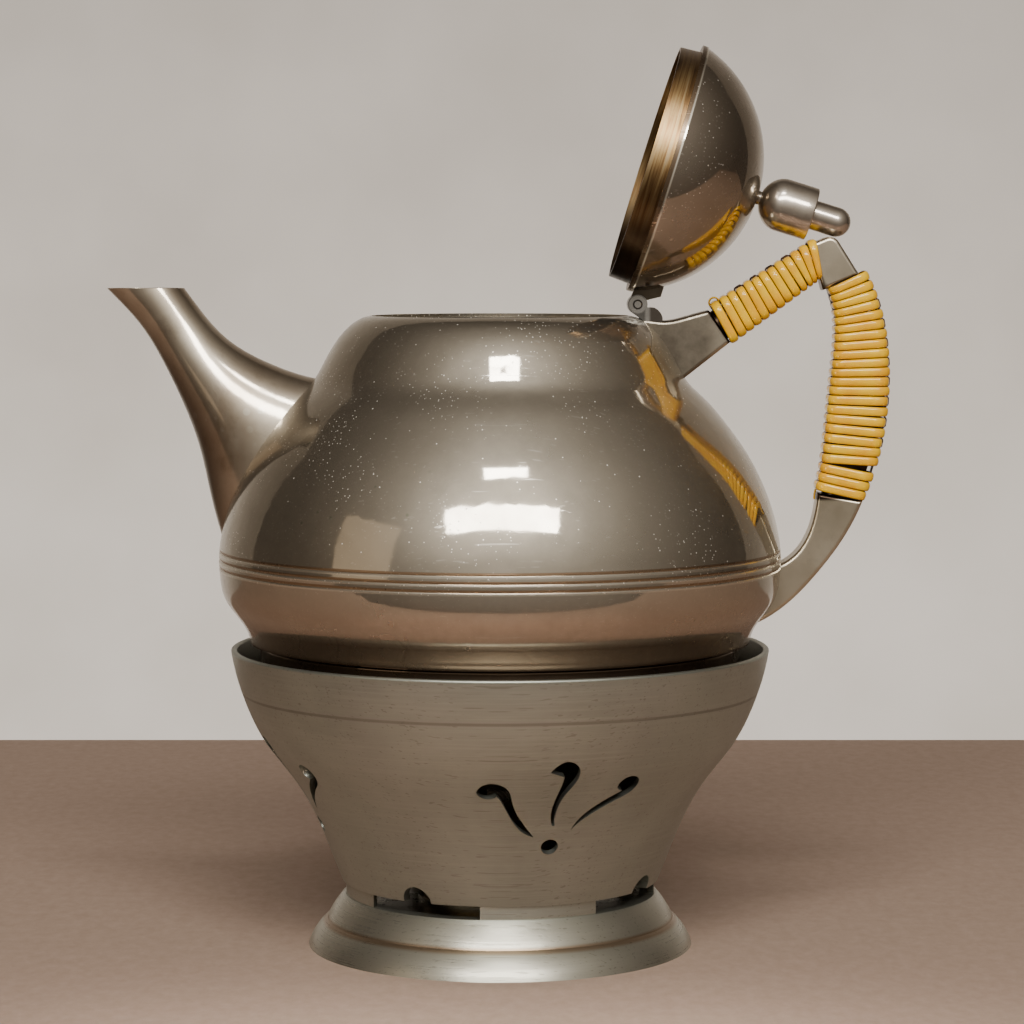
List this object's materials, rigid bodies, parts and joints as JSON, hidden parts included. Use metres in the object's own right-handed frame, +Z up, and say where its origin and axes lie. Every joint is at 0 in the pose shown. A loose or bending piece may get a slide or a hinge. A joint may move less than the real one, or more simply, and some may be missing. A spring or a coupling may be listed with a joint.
{
  "type": "teapot with warmer",
  "caption": "Round metal teapot with a hinged domed lid, curved spout and cane bound angular handle, standing on a pierced flared spirit warmer with a lift-out burner.",
  "frame": {"origin": "centre of the warmer's foot, on the table", "axes": "+Z up, +X from the body's axis towards the handle, -X along the spout"},
  "size_m": [0.2224, 0.16, 0.2558],
  "materials": {
    "pot_nickel": "polished nickel, dulled and pitted with age",
    "satin_nickel": "satin nickel worn by handling",
    "warmer_pewter": "satin pewter with fine turned brushing",
    "tinted_bronze": "tea stained bronze tint over nickel",
    "hinge_steel": "bright satin",
    "burner_brass": "dulled brass",
    "wick_cotton": "cotton",
    "cane": "glossy split cane",
    "dark_strip": "dark stained flat cane"
  },
  "bodies": {
    "warmer": {"warmer_shell": "warmer_pewter", "warmer_foot": "warmer_pewter", "rest_ring": "warmer_pewter", "burner_plate": "warmer_pewter"},
    "burner": {"burner_reservoir": "burner_brass", "burner_head": "burner_brass", "wick_tube": "burner_brass", "wick": "wick_cotton"},
    "teapot": {"pot_body": "pot_nickel", "pot_floor": "pot_nickel", "base_ring": "pot_nickel", "mouth_ring": "pot_nickel", "spout": "pot_nickel", "handle": "satin_nickel", "arm_strip": "dark_strip", "grip_strip": "dark_strip", "arm_wrap": "cane", "grip_wrap": "cane", "hinge_base": "hinge_steel", "hinge_pin": "hinge_steel"},
    "lid": {"lid_dome": "pot_nickel", "lid_skirt": "tinted_bronze", "lid_bead": "pot_nickel", "lid_knob": "satin_nickel", "knob_stub": "satin_nickel", "knob_nut": "hinge_steel", "lid_hinge_leaf": "hinge_steel"}
  },
  "joints": [
    {"name": "teapot_lift", "type": "slide", "parent": "warmer", "child": "teapot", "axis": [0, 0, 1], "range_m": [0, 0.05]},
    {"name": "burner_lift", "type": "slide", "parent": "warmer", "child": "burner", "axis": [0, 0, 1], "range_m": [0, 0.025]},
    {"name": "lid_hinge", "type": "hinge", "parent": "teapot", "child": "lid", "pos_m": [0.0389, 0, 0.183], "axis": [0, -1, 0], "range_deg": [0, 107.3]}
  ]
}
